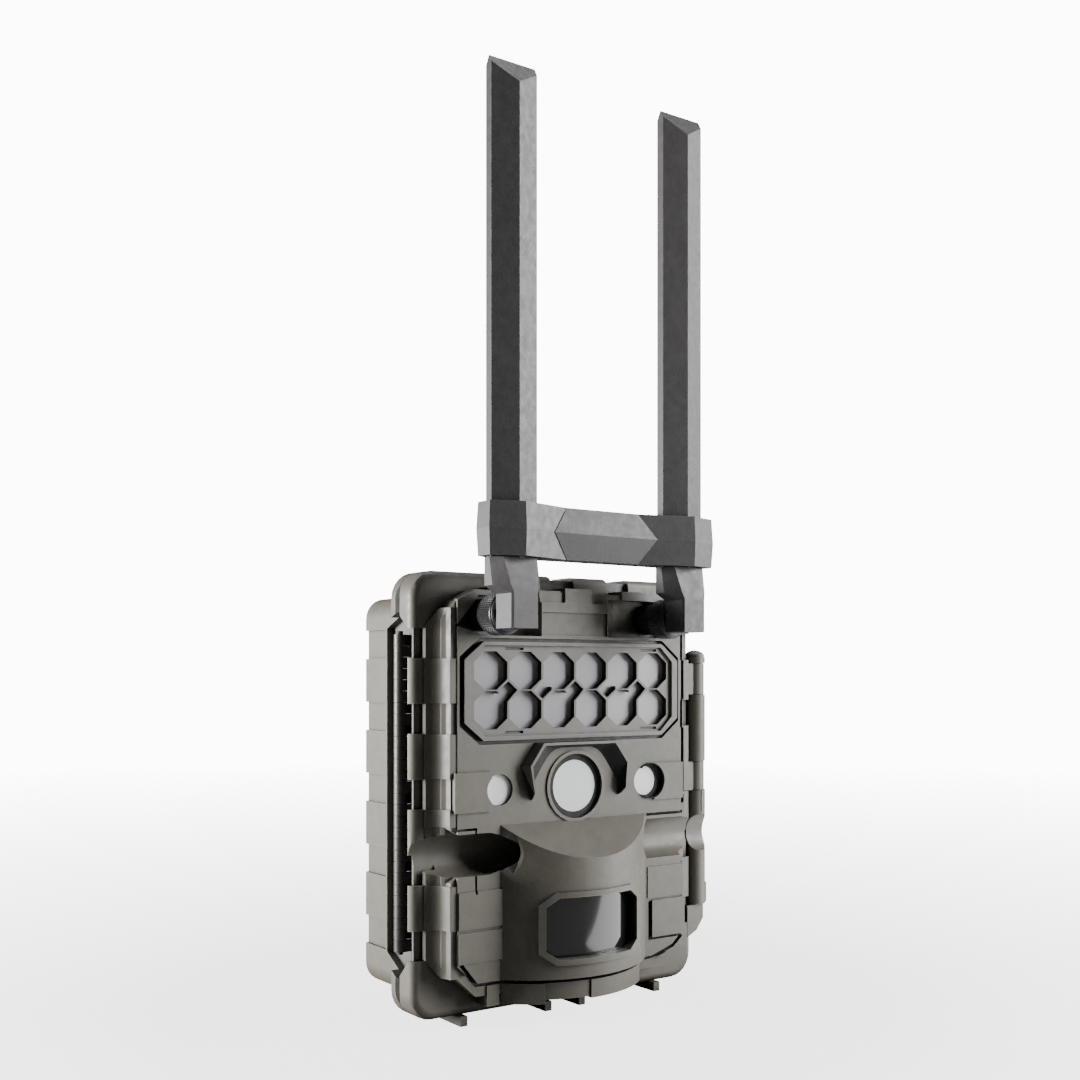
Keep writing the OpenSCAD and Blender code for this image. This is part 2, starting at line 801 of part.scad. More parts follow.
// Cross-section of an antenna blade, w half wide, r ridge height in front
function blade(w, grow = 0) = [
    [-w - grow, blade_y - grow / 2], [0, blade_y - 2.9 - grow], [w + grow, blade_y - grow / 2],
    [w + grow, -18.9], [w - 3, -17.6 + grow], [-w + 3, -17.6 + grow], [-w - grow, -18.9]];

// Cross-section of the neck: front face w half wide at depth front, chamfered back to depth side
function neck_outline(w, front, side) = [
    [-w, front], [w, front], [8.9, side], [8.9, -18.7], [-8.9, -18.7], [-8.9, side]];

// One antenna, drawn on X = 0: blade with a bevelled tip, neck and connector block
module antenna() {
    block = [[-4.95, block_front + 0.6], [-4.3, block_front], [4.3, block_front],
        [4.95, block_front + 0.6], [4.95, block_back], [-4.95, block_back]];
    difference() {
        prism_z(blade(blade_w), neck_z + 2, antenna_top);
        prism_x([[-26, 289.6], [-20.6, antenna_top + 0.1], [-26, antenna_top + 1]], -12, 12);
        prism_x([[-20.6, antenna_top + 0.1], [-17, 293], [-17, antenna_top + 1]], -12, 12);
    }
    hull() {
        prism_z(neck_outline(6.2, -25.3, -21.4), bracket_z - 0.5, bracket_z - 0.3);
        prism_z(neck_outline(5.1, -27.6, -23), neck_z, neck_z + 0.5);
    }
    hull() {
        prism_z(neck_outline(5.1, -27.6, -23), neck_z, neck_z + 0.5);
        prism_z(block, block_z + 10.6, block_z + 11);
    }
    prism_z(block, block_z, block_z + 10.8);
    bar_y(0, jack_z, 3.9, block_back - 0.5, stub_end);
}

module antenna_left() {
    color([0.25, 0.24, 0.25]) place() translate([-antenna_x, 0, 0]) antenna();
}

module antenna_right() {
    color([0.25, 0.24, 0.25]) place() translate([antenna_x, 0, 0]) antenna();
}

// Knurled coupling nut with a plain collar behind it, drawn on X = 0
module coupling_nut() {
    difference() {
        union() {
            bar_y(0, jack_z, 6.6, -17.9, -10.4);
            bar_y(0, jack_z, 6, -18.9, -9.4);
            bar_y(0, jack_z, 5.2, -9.5, -2.2);
            for (a = [0 : 12 : 348]) translate([0, 0, jack_z]) rotate([0, a, 0])
                box([6, -17.4, -0.35], [6.95, -10.9, 0.35]);
        }
        bar_y(0, jack_z, 3.1 + fit, -14, -2);
        bar_y(0, jack_z, 3.9 + fit, -20, -13.05);
    }
}

module coupling_nut_left() {
    color([0.12, 0.12, 0.12]) place() translate([-antenna_x, 0, 0]) coupling_nut();
}

module coupling_nut_right() {
    color([0.12, 0.12, 0.12]) place() translate([antenna_x, 0, 0]) coupling_nut();
}

// Faceted bracket that ties the antennas together
module antenna_bracket() {
    end_x = antenna_x + 10.8;
    mid_z = bracket_z + bracket_h / 2;
    collar = [[antenna_x - 20, -22.1], [antenna_x, -28.4], [end_x, -24.8], [end_x, -17.9],
        [antenna_x + 6, -15], [antenna_x - 20, -15]];
    crease = [[antenna_x - 20, -22.5], [antenna_x, -28.8], [end_x + 0.5, -25.1], [end_x + 0.5, -17.7],
        [antenna_x + 6, -14.8], [antenna_x - 20, -14.8]];
    color([0.33, 0.33, 0.34]) place() difference() {
        union() {
            both() hull() {
                prism_z(collar, bracket_z, bracket_z + bracket_h);
                prism_z(crease, mid_z - 0.1, mid_z + 0.1);
            }
            hull() {
                box([-14.5, -22.4, bracket_z], [14.5, -15.2, bracket_z + bracket_h]);
                box([-20.8, -24.9, mid_z - 0.1], [20.8, -14.8, mid_z + 0.1]);
            }
        }
        both() translate([antenna_x, 0, 0]) prism_z(blade(blade_w, 0.3), bracket_z - 1, bracket_z + 30);
    }
}

// --- Latch and small pieces ---

// Heights of the latch's own knuckles
function latch_knuckles() = [[latch_low, 67.2], [77.9, 102], [113.6, latch_high - 2.6]];

module latch() {
    plate = [[latch_x + 0.2, latch_y + 4], [latch_x + 3.6, latch_y + 4], [latch_x + 3.6, 15.2],
        [half_w + 0.35, 15.2], [half_w + 0.35, 13.6], [latch_x + 0.2, 13.6]];
    web = [[latch_x - 2, latch_y], [latch_x + 3.5, latch_y], [latch_x + 3.5, latch_y + 4.5],
        [latch_x + 0.2, latch_y + 4.5]];
    color([0.29, 0.28, 0.24]) place() difference() {
        union() {
            prism_z(plate, latch_low, latch_high - 3);
            for (z = latch_knuckles()) {
                bar_z(latch_x, latch_y, barrel_r, z[0], z[1]);
                prism_z(web, z[0], z[1]);
            }
            intersection() {
                translate([latch_x, latch_y, latch_high - 5]) sphere(r = 5);
                bar_z(latch_x, latch_y, barrel_r - 0.3, latch_high - 3, latch_high);
            }
            prism_z([[latch_x, latch_y - barrel_r], [latch_x + 5.4, latch_y - 0.6],
                [latch_x + 5.4, latch_y + 2], [latch_x, latch_y + 3]], latch_low, 33);
            prism_z([[latch_x, latch_y - barrel_r - 0.2], [latch_x + 4.6, latch_y - 0.8],
                [latch_x + 4.6, latch_y + 2], [latch_x, latch_y + 3]], 59.5, 67.2);
        }
        bar_z(latch_x, latch_y, pin_r + fit, 60, 115.4);
        bar_z(latch_x, latch_y, pin_r + fit, 20, 44);
        bar_x(-5, channel_z - 0.5, 7.5, half_w - 2, half_w + 12);
    }
}

module latch_pins() {
    color([0.5, 0.5, 0.52]) place() {
        bar_z(latch_x, latch_y, pin_r, 61, 114.8);
        bar_z(latch_x, latch_y, pin_r, 17.5, 43);
    }
}

module mic_port() {
    color([0.45, 0.44, 0.42]) place() bar_y(-23.5, 3.4, 1, -0.4, 2.6);
}

back_housing();
tripod_insert();
hinge_pin();
battery_tray();
battery_cells();
contact_springs();
contact_plates();
front_cover();
door_gasket();
ir_grid();
ir_filter();
led_board();
ir_leds();
lens_bezel();
lens_glass();
lens_barrel();
image_sensor_board();
left_port_window();
right_port_window();
light_sensor();
status_led();
pir_window();
pir_sensor();
main_board();
modem_board();
inner_panel();
panel_screws();
display();
card_slot();
memory_card();
power_switch();
button_1();
button_2();
button_3();
button_4();
button_5();
antenna_jacks();
coax_leads();
antenna_left();
antenna_right();
coupling_nut_left();
coupling_nut_right();
antenna_bracket();
latch();
latch_pins();
mic_port();
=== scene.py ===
import json
import math

import bmesh
import bpy
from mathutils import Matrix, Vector


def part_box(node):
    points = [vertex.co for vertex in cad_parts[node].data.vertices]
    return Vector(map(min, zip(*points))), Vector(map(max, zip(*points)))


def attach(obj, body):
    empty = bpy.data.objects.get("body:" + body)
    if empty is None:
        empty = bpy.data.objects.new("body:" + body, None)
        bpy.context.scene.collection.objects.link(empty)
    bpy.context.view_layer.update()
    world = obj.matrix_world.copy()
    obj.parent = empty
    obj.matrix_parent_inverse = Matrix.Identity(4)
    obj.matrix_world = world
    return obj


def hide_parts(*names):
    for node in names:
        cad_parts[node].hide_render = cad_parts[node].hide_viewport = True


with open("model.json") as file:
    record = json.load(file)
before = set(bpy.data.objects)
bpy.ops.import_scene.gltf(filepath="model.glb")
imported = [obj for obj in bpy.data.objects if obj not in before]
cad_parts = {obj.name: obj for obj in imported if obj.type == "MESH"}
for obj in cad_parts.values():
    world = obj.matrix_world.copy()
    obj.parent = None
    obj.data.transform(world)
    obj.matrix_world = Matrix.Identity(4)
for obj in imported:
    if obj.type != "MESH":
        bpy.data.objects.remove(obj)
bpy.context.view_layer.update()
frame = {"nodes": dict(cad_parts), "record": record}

NODES = frame["nodes"]
MM = 0.001
RIM_FRONT = -22 * MM
RIM_LOW = 2.8 * MM

# Black blocks of painted shade in the grooves beside the raised face: the lowest and highest corner of each,
# in mm, as in_part() takes them
GROOVE_SHADE_BLOCKS = (
    ((46.65, -5.9, 64.1), (47.85, -4.5, 130.5)),
    ((47.55, -5.7, 18.3), (48.65, -4.5, 42.9)),
    ((31.55, -6.6, 17.3), (32.55, -5.75, 30.4)),
    ((31.55, -6.6, 17.25), (47.4, -5.75, 18.15)),
    ((30.5, -6.2, 60.45), (47.8, -5.3, 61.35)))
# Gaps between the knuckles of the latch, in mm above the rim's lower edge
WASHERS = (67.3, 77.8, 102.1, 113.5)

# Width in mm of the softened edges of each CAD node that gets a moulded copy
SOFT_EDGES = {
    "front_cover": 0.35, "back_housing": 0.5, "ir_grid": 0.12, "latch": 0.2, "antenna_left": 0.5,
    "antenna_right": 0.5, "antenna_bracket": 0.5, "inner_panel": 0.3, "card_slot": 0.15, "memory_card": 0.25,
    "power_switch": 0.3, "button_1": 0.4, "button_2": 0.4, "button_3": 0.4, "button_4": 0.4, "button_5": 0.4}
EDGE_ANGLE = math.radians(30)
EDGE_SEGMENTS = 2

# A battery in mm: half its length without the raised cap, its radius, and the length of its coloured band
CELL_HALF = 24.4
CELL_RADIUS = 7.0
CELL_BAND = 10


# --- Materials ---

class Paint:
    """A Principled material with helpers for grain, mottling, worn edges with a painted highlight, and
    painted shade in grooves and corners.
    """

    def __init__(self, name, colour, roughness, metallic=0.0, specular=0.5, coat=0.0):
        self.material = bpy.data.materials.new(name)
        self.material.use_nodes = True
        self.tree = self.material.node_tree
        self.shader = self.tree.nodes["Principled BSDF"]
        self.shader.inputs["Base Color"].default_value = (*colour, 1.0)
        self.shader.inputs["Roughness"].default_value = roughness
        self.shader.inputs["Metallic"].default_value = metallic
        self.shader.inputs["Specular IOR Level"].default_value = specular
        self.shader.inputs["Coat Weight"].default_value = coat
        self.colour = colour
        self.shade = None
        self.roughness = roughness
        self.place = self.node("ShaderNodeTexCoord").outputs["Object"]
        self.normal = None

    def node(self, kind, **settings):
        made = self.tree.nodes.new(kind)
        for key, value in settings.items():
            setattr(made, key, value)
        return made

    def link(self, a, b):
        self.tree.links.new(a, b)

    def noise(self, size, detail=3.0, rough=0.5):
        """Noise whose features are about `size` metres across."""
        made = self.node("ShaderNodeTexNoise")
        made.inputs["Scale"].default_value = 1.0 / size
        made.inputs["Detail"].default_value = detail
        made.inputs["Roughness"].default_value = rough
        self.link(self.place, made.inputs["Vector"])
        return made.outputs["Fac"]

    def ramp(self, value, low, high, start, end):
        """Maps value from start..end to low..high."""
        made = self.node("ShaderNodeMapRange")
        for key, number in (("From Min", start), ("From Max", end), ("To Min", low), ("To Max", high)):
            made.inputs[key].default_value = number
        self.link(value, made.inputs["Value"])
        return made.outputs["Result"]

    def grain(self, size, height, strength=1.0):
        """Fine relief of a moulded surface, `height` metres deep."""
        bump = self.node("ShaderNodeBump")
        bump.inputs["Strength"].default_value = strength
        bump.inputs["Distance"].default_value = height
        self.link(self.noise(size), bump.inputs["Height"])
        if self.normal is not None:
            self.link(self.normal, bump.inputs["Normal"])
        self.normal = bump.outputs["Normal"]
        self.link(self.normal, self.shader.inputs["Normal"])
        return self

    def rough_variation(self, size, spread):
        """Roughness that wanders by `spread` either way."""
        wander = self.ramp(self.noise(size, 4.0), self.roughness - spread, self.roughness + spread, 0.3, 0.7)
        self.link(wander, self.shader.inputs["Roughness"])
        return self

    def mix(self, factor, first, second):
        """Colour between two colours or sockets; it becomes the shader's base colour."""
        made = self.node("ShaderNodeMix", data_type="RGBA")
        self.link(factor, made.inputs["Factor"])
        for key, value in (("A", first), ("B", second)):
            if isinstance(value, bpy.types.NodeSocket):
                self.link(value, made.inputs[key])
            else:
                made.inputs[key].default_value = (*value, 1)
        self.shade = made.outputs["Result"]
        self.link(self.shade, self.shader.inputs["Base Color"])

    def mottle(self, size, spread):
        """Colour that wanders lighter and darker by `spread`."""
        light = [channel * (1 + spread) for channel in self.colour]
        dark = [channel * (1 - spread) for channel in self.colour]
        self.mix(self.ramp(self.noise(size, 5.0), 0, 1, 0.3, 0.7), dark, light)
        return self

    def highlit_worn_edges(self, radius, colour, amount):
        """Turns sharp edges towards a lighter colour: a painted edge highlight, which also stands for the rub
        of worn plastic.
        """
        edge = self.node("ShaderNodeBevel", samples=6)
        edge.inputs["Radius"].default_value = radius
        true = self.node("ShaderNodeNewGeometry")
        dot = self.node("ShaderNodeVectorMath", operation="DOT_PRODUCT")
        self.link(edge.outputs["Normal"], dot.inputs[0])
        self.link(true.outputs["Normal"], dot.inputs[1])
        self.mix(self.ramp(dot.outputs["Value"], amount, 0.0, 0.85, 0.995), self.shade, colour)
        return self

    def painted_crevice_shade(self, reach, depth):
        """Paints shade: darkens grooves and inner corners by `depth`, where walls are closer than about
        `reach` metres.
        """
        near = self.node("ShaderNodeAmbientOcclusion", samples=8)
        near.inputs["Distance"].default_value = reach
        dark = [channel * (1 - depth) for channel in self.colour]
        self.mix(self.ramp(near.outputs["AO"], 0.0, 1.0, 0.3, 0.85), dark, self.shade)
        return self


def housing_paint(name, colour):
    made = Paint(name, colour, 0.5, specular=0.45)
    made.mottle(6 * MM, 0.07)
    # Painted edge highlight, also standing for wear: edges lightened towards twice the colour.
    made.highlit_worn_edges(0.5 * MM, [channel * 2.0 for channel in colour], 0.45)
    # Painted shade in grooves and inner corners.
    made.painted_crevice_shade(7 * MM, 0.85)
    made.rough_variation(2.5 * MM, 0.08)
    return made.grain(0.55 * MM, 0.035 * MM).grain(9 * MM, 0.12 * MM, 0.5).material


def dark_paint(name, colour, roughness):
    made = Paint(name, colour, roughness)
    made.mottle(4 * MM, 0.1)
    # Painted shade in grooves and inner corners.
    made.painted_crevice_shade(4 * MM, 0.6)
    made.rough_variation(2 * MM, 0.06)
    return made.grain(0.5 * MM, 0.02 * MM).material


def gloss_paint(name, colour, roughness):
    made = Paint(name, colour, roughness, specular=0.6, coat=0.4)
    made.mottle(12 * MM, 0.05)
    made.rough_variation(8 * MM, 0.02)
    return made.grain(15 * MM, 0.05 * MM, 0.3).material


def metal_paint(name, colour, roughness):
    made = Paint(name, colour, roughness, metallic=1.0)
    made.mottle(3 * MM, 0.08)
    made.rough_variation(1.2 * MM, 0.08)
    return made.grain(0.4 * MM, 0.01 * MM).material


def clear_paint(name, colour, roughness, see_through):
    made = Paint(name, colour, roughness, specular=0.6, coat=0.5)
    made.shader.inputs["Transmission Weight"].default_value = see_through
    made.shader.inputs["IOR"].default_value = 1.5
    made.rough_variation(9 * MM, 0.01)
    return made.grain(20 * MM, 0.03 * MM, 0.3).material


HOUSING = housing_paint("housing_plastic", (0.092, 0.085, 0.069))
FRAME = housing_paint("window_frame", (0.105, 0.1, 0.088))
ANTENNA = housing_paint("antenna_plastic", (0.046, 0.0425, 0.0447))
BRACKET = housing_paint("bracket_plastic", (0.055, 0.053, 0.054))
BLACK = dark_paint("black_plastic", (0.013, 0.013, 0.014), 0.5)
NUT = dark_paint("nut_plastic", (0.018, 0.018, 0.019), 0.38)
# Painted shade: near-black for the walls of the infrared cells.
IR_WALL_SHADE = dark_paint("ir_wall_shade", (0.012, 0.011, 0.009), 0.7)
# Black of the lens bezel, hinge pin and latch washers; also painted shade in the side grooves, the port
# recess and under the lens hood.
DEEP_BLACK = dark_paint("deep_black", (0.004, 0.004, 0.004), 0.8)
# Painted shade: dark for the hinge knuckles and the groove along the parting line.
HINGE_SHADE = dark_paint("hinge_shade", (0.022, 0.02, 0.016), 0.45)
GREY = dark_paint("grey_plastic", (0.2, 0.2, 0.2), 0.5)
RUBBER = dark_paint("rubber", (0.02, 0.02, 0.02), 0.75)
GLOSS_BLACK = gloss_paint("gloss_black", (0.005, 0.005, 0.006), 0.12)
FILTER = gloss_paint("filter_plastic", (0.22, 0.209, 0.224), 0.35)
SCREEN = gloss_paint("screen", (0.09, 0.11, 0.085), 0.12)
RED = gloss_paint("red_led", (0.4, 0.02, 0.02), 0.15)
BOARD = gloss_paint("circuit_board", (0.01, 0.05, 0.02), 0.35)
JACKET = gloss_paint("cell_jacket", (0.35, 0.36, 0.38), 0.3)
JACKET_BAND = gloss_paint("cell_band", (0.42, 0.16, 0.05), 0.25)
STEEL = metal_paint("steel", (0.55, 0.55, 0.56), 0.3)
BRASS = metal_paint("brass", (0.7, 0.5, 0.22), 0.28)
WINDOW = clear_paint("clear_window", (0.8, 0.82, 0.81), 0.18, 0.15)
# The lens's whitish base colour is a painted reflection of the white surroundings.
LENS = clear_paint("lens", (0.82, 0.84, 0.86), 0.06, 0.2)

BY_SLOT = {
    "housing_plastic": HOUSING, "window_frame": FRAME, "antenna_plastic": ANTENNA, "bracket_plastic": BRACKET,
    "black_plastic": BLACK, "grey_plastic": GREY, "rubber": RUBBER, "gloss_black": GLOSS_BLACK,
    "filter_plastic": FILTER, "red_led": RED, "circuit_board": BOARD, "cell_jacket": JACKET,
    "steel": STEEL, "brass": BRASS, "clear_window": WINDOW, "lens": LENS}
SLOT_OF = {part["node"]: part["material_slot"] for part in frame["record"]["subparts"]}
BODY_OF = {node: body for body, nodes in frame["record"]["behaviour"]["bodies"].items() for node in nodes}


def paint(obj, material):
    obj.data.materials.clear()
    obj.data.materials.append(material)


# --- Pieces ---

def clean_copy(node):
    """A copy of a CAD node's mesh with its seams welded and its flat faces whole."""
    mesh = bmesh.new()
    mesh.from_mesh(NODES[node].data)
    bmesh.ops.remove_doubles(mesh, verts=mesh.verts, dist=0.002 * MM)
    bmesh.ops.dissolve_limit(mesh, angle_limit=math.radians(0.5), verts=mesh.verts, edges=mesh.edges)
    data = bpy.data.meshes.new(node + "_shape")
    mesh.to_mesh(data)
    mesh.free()
    return data


def softened(node, radius):
    """Stands for a CAD node: the same shape with the rounded edges of a moulded part."""
    piece = bpy.data.objects.new(node + "_moulded", clean_copy(node))
    bpy.context.scene.collection.objects.link(piece)
    bevel = piece.modifiers.new("edges", "BEVEL")
    bevel.width = radius * MM
    bevel.segments = EDGE_SEGMENTS
    bevel.limit_method = "ANGLE"
    bevel.angle_limit = EDGE_ANGLE
    normals = piece.modifiers.new("normals", "WEIGHTED_NORMAL")
    normals.weight = 90
    for face in piece.data.polygons:
        face.use_smooth = True
    paint(piece, BY_SLOT[SLOT_OF[node]])
    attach(piece, BODY_OF[node])
    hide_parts(node)
    return piece


def new_piece(name, mesh, node, material, sharp=35, stands_in=True):
    """A finished piece from a bmesh. It rides with a CAD node, and stands for it if asked."""
    bmesh.ops.recalc_face_normals(mesh, faces=mesh.faces)
    data = bpy.data.meshes.new(name)
    mesh.to_mesh(data)
    mesh.free()
    for face in data.polygons:
        face.use_smooth = True
    data.set_sharp_from_angle(angle=math.radians(sharp))
    piece = bpy.data.objects.new(name, data)
    bpy.context.scene.collection.objects.link(piece)
    paint(piece, material)
    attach(piece, BODY_OF[node])
    if stands_in:
        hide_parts(node)
    return piece


def centre_of(node):
    low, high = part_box(node)
    return (Vector(low) + Vector(high)) / 2


def turned(mesh, outline, steps, place, along="Y"):
    """Adds a ring: an outline of (along, radius) points in mm, turned about an axis through `place`."""
    rings = []
    for step in range(steps):
        turn = 2 * math.pi * step / steps
        ring = []
        for far, radius in outline:
            across = (radius * MM * math.cos(turn), radius * MM * math.sin(turn))
            if along == "Y":
                point = Vector((across[0], far * MM, across[1]))
            else:
                point = Vector((across[0], across[1], far * MM))
            ring.append(mesh.verts.new(Vector(place) + point))
        rings.append(ring)
    faces = []
    for step in range(steps):
        here, there = rings[step], rings[(step + 1) % steps]
        for i in range(len(outline)):
            j = (i + 1) % len(outline)
            faces.append(mesh.faces.new((here[i], here[j], there[j], there[i])))
    return faces


def knurled_nut(node):
    """Coupling nut with a diamond knurl between two chamfers, and a plain collar behind."""
    place = centre_of(node)
    place.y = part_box(node)[0][1]
    rows = 6
    knurl_radius = 6.45
    knurl = [(1.5 + i * 6.5 / rows, knurl_radius) for i in range(rows + 1)]
    outline = [(0, 4.1), (0, 5.7), (0.4, 6.1), (1.0, 6.1), (1.2, 6.4), *knurl, (8.3, 6.4), (8.5, 6.1),
               (9.1, 6.1), (9.5, 5.7), (9.5, 5.2), (16.4, 5.2), (16.7, 4.9),
               (16.7, 3.2), (5.8, 3.2), (5.8, 4.1)]
    mesh = bmesh.new()
    faces = turned(mesh, outline, 54, place)
    inside = (knurl_radius - 0.01) * MM
    ridged = [face for face in faces
              if all((Vector((v.co.x, 0, v.co.z)) - Vector((place.x, 0, place.z))).length > inside
                     for v in face.verts)]
    bmesh.ops.recalc_face_normals(mesh, faces=mesh.faces)
    bmesh.ops.poke(mesh, faces=ridged, offset=0.42 * MM)
    new_piece(node + "_knurled", mesh, node, NUT, sharp=20)


def in_part(x, y, z):
    """A point given from the lens axis, the rim's front and the rim's lower edge, in mm."""
    return Vector((x * MM, y * MM + RIM_FRONT, z * MM + RIM_LOW))


def groove_shade_blocks():
    """Painted shade: black blocks filling the grooves beside the raised face."""
    mesh = bmesh.new()
    for low, high in GROOVE_SHADE_BLOCKS:
        block(mesh, in_part(*low), in_part(*high))
    bmesh.ops.bevel(mesh, geom=mesh.edges, offset=0.15 * MM, segments=1, affect="EDGES")
    new_piece("groove_shade_blocks", mesh, "front_cover", DEEP_BLACK, stands_in=False)


def port_recess_shade():
    """Painted shade: a black lining of the off-centre recess beside the right window."""
    middle = centre_of("right_port_window")
    middle.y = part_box("right_port_window")[0][1] - 0.12 * MM
    off_centre = Vector((1.8 * MM, 0, 0))
    mesh = bmesh.new()
    outline = [(-1.85, 6.1), (-1.8, 6.15), (0, 6.15), (0, 0.02), (-0.08, 0.02), (-0.12, 6.0), (-1.85, 6.0)]
    turned(mesh, outline, 48, middle + off_centre)
    hole = bmesh.new()
    turned(hole, [(-3, 0.02), (-3, 5.1), (3, 5.1), (3, 0.02)], 48, middle)
    cut(new_piece("port_recess_shade", mesh, "front_cover", DEEP_BLACK, stands_in=False), hole)


def latch_washers():
    """Thin washers between the knuckles of the latch."""
    place = centre_of("latch_pins")
    place.z = RIM_LOW
    bore, rim = 1.1, 3.35
    mesh = bmesh.new()
    for z in WASHERS:
        under, over = z - 0.07, z + 0.07
        turned(mesh, [(under, bore), (under, rim), (over, rim), (over, bore)], 40, place, "Z")
    new_piece("latch_washers", mesh, "latch_pins", DEEP_BLACK, stands_in=False)


def threaded_insert():
    """Tripod insert with the grooves of its thread and a chamfered mouth."""
    low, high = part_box("tripod_insert")
    deep = (high[2] - low[2]) / MM
    pitch = 1.27
    teeth = [(0, 3.6), (0.35, 3.175)]
    for i in range(5):
        start = 0.6 + i * pitch
        teeth += [(start, 3.17), (start + 0.45 * pitch, 2.75), (start + 0.55 * pitch, 2.75)]
    outline = teeth + [(7.9, 3.1), (8, 0.02), (deep, 0.02), (deep, 4.9), (0.3, 4.95), (0, 4.7)]
    mesh = bmesh.new()
    place = centre_of("tripod_insert")
    place.z = low[2]
    turned(mesh, outline, 48, place, "Z")
    new_piece("tripod_insert_threaded", mesh, "tripod_insert", BRASS)


def cut(piece, cutter_mesh):
    """Cuts a bmesh's shape out of a piece."""
    bmesh.ops.recalc_face_normals(cutter_mesh, faces=cutter_mesh.faces)
    data = bpy.data.meshes.new("cutter")
    cutter_mesh.to_mesh(data)
    cutter_mesh.free()
    cutter = bpy.data.objects.new("cutter", data)
    bpy.context.scene.collection.objects.link(cutter)
    modifier = piece.modifiers.new("cut", "BOOLEAN")
    modifier.operation = "DIFFERENCE"
    modifier.solver = "EXACT"
    modifier.use_self = True
    modifier.object = cutter
    bpy.context.view_layer.update()
    shape = piece.evaluated_get(bpy.context.evaluated_depsgraph_get())
    whole = bpy.data.meshes.new_from_object(shape)
    piece.modifiers.clear()
    piece.data = whole
    bpy.data.objects.remove(cutter)


def block(mesh, low, high):
    made = bmesh.ops.create_cube(mesh, size=1)["verts"]
    for vert in made:
        vert.co = Vector([low[i] + (high[i] - low[i]) * (vert.co[i] + 0.5) for i in range(3)])


def panel_screws():
    """Six pan-head screws with cross recesses."""
    low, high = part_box("panel_screws")
    head = 2.6 * MM
    columns = (low[0] + head, high[0] - head)
    rows = (low[2] + head, (low[2] + high[2]) / 2, high[2] - head)
    mesh = bmesh.new()
    recess = bmesh.new()
    top = (high[1] - low[1]) / MM
    outline = [(0, 0.02), (0, 1.3), (top - 1.2, 1.3), (top - 1.2, 2.6), (top - 0.7, 2.55), (top - 0.25, 2.1),
               (top, 1.3), (top, 0.02)]
    for x in columns:
        for z in rows:
            turned(mesh, outline, 28, (x, low[1], z))
            for wide, tall in ((1.5, 0.35), (0.35, 1.5)):
                block(recess, (x - wide * MM, high[1] - 0.7 * MM, z - tall * MM),
                      (x + wide * MM, high[1] + MM, z + tall * MM))
    cut(new_piece("panel_screws_cross", mesh, "panel_screws", STEEL), recess)


def cell_places():
    """Middle and direction of each battery: two rows of six, every other one upside down."""
    low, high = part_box("battery_cells")
    radius = (high[1] - low[1]) / 2
    pitch = (high[0] - low[0] - 2 * radius) / 5
    middle = (low[2] + high[2]) / 2
    quarter = (high[2] - low[2]) / 4
    for i in range(6):
        for k in (0, 1):
            up = 1 if (i + k) % 2 == 0 else -1
            shift = quarter + 0.35 * MM
            yield Vector((low[0] + radius + i * pitch, low[1] + radius, middle + (2 * k - 1) * shift)), up


def battery_cells():
    """Cells with a shrunk jacket, a band at one end, and bare metal caps."""
    mesh = bmesh.new()
    half = CELL_HALF
    outline = [(-half, 0.02), (-half, 6.3), (-half + 0.15, 6.75), (-half + 0.6, CELL_RADIUS),
               (half - CELL_BAND, CELL_RADIUS), (half - 1.4, CELL_RADIUS), (half - 0.7, 6.6),
               (half - 0.6, 5.2), (half - 0.6, 2.7), (half + 0.8, 2.6), (half + 0.95, 2.3),
               (half + 0.95, 0.02)]
    for place, up in cell_places():
        turned(mesh, [(up * far, radius) for far, radius in outline], 36, place, "Z")
    piece = new_piece("battery_cells_jacketed", mesh, "battery_cells", JACKET)
    piece.data.materials.append(JACKET_BAND)
    piece.data.materials.append(STEEL)
    ends = list(cell_places())
    for face in piece.data.polygons:
        place, up = min(ends, key=lambda end: (end[0] - face.center).length)
        along = up * (face.center.z - place.z) / MM
        if along > half - 0.9 or along < -half + 0.1:
            face.material_index = 2
        elif along > half - CELL_BAND:
            face.material_index = 1


def contact_springs():
    """Conical coil springs at the flat end of each cell."""
    mesh = bmesh.new()
    sides = 6
    turns = 2.6
    steps = 44
    wire = 0.2 * MM
    up_axis = Vector((0, 0, 1))
    for place, up in cell_places():
        rings = []
        for step in range(steps + 1):
            part = step / steps
            angle = 2 * math.pi * turns * part
            radius = (3.0 - 1.3 * part) * MM
            height = (-25.75 + 0.9 * part) * MM
            middle = place + Vector((radius * math.cos(angle), radius * math.sin(angle), up * height))
            outward = Vector((math.cos(angle), math.sin(angle), 0))
            ring = []
            for k in range(sides):
                turn = 2 * math.pi * k / sides
                aside = math.cos(turn) * outward + math.sin(turn) * up_axis
                ring.append(mesh.verts.new(middle + wire * aside))
            rings.append(ring)
        for here, there in zip(rings, rings[1:]):
            for k in range(sides):
                mesh.faces.new((here[k], here[(k + 1) % sides], there[(k + 1) % sides], there[k]))
        for cap in (rings[0], rings[-1]):
            mesh.faces.new(cap)
    new_piece("contact_springs_coiled", mesh, "contact_springs", STEEL)


for name, obj in NODES.items():
    paint(obj, BY_SLOT[SLOT_OF[name]])

moulded = {node: softened(node, width) for node, width in SOFT_EDGES.items()}
knurled_nut("coupling_nut_left")
knurled_nut("coupling_nut_right")
threaded_insert()
panel_screws()
battery_cells()
contact_springs()
# Painted shade in the grooves beside the raised face.
groove_shade_blocks()
# Painted shade in the recess beside the right window.
port_recess_shade()
latch_washers()
paint(NODES["display"], SCREEN)
for name in ("lens_bezel", "hinge_pin"):
    paint(NODES[name], DEEP_BLACK)


def paint_shade_on_faces(piece, material, chosen):
    """Paints shade on the faces whose centre and normal pass the test, with another material."""
    piece.data.materials.append(material)
    slot = len(piece.data.materials) - 1
    for face in piece.data.polygons:
        if chosen(face.center, face.normal):
            face.material_index = slot


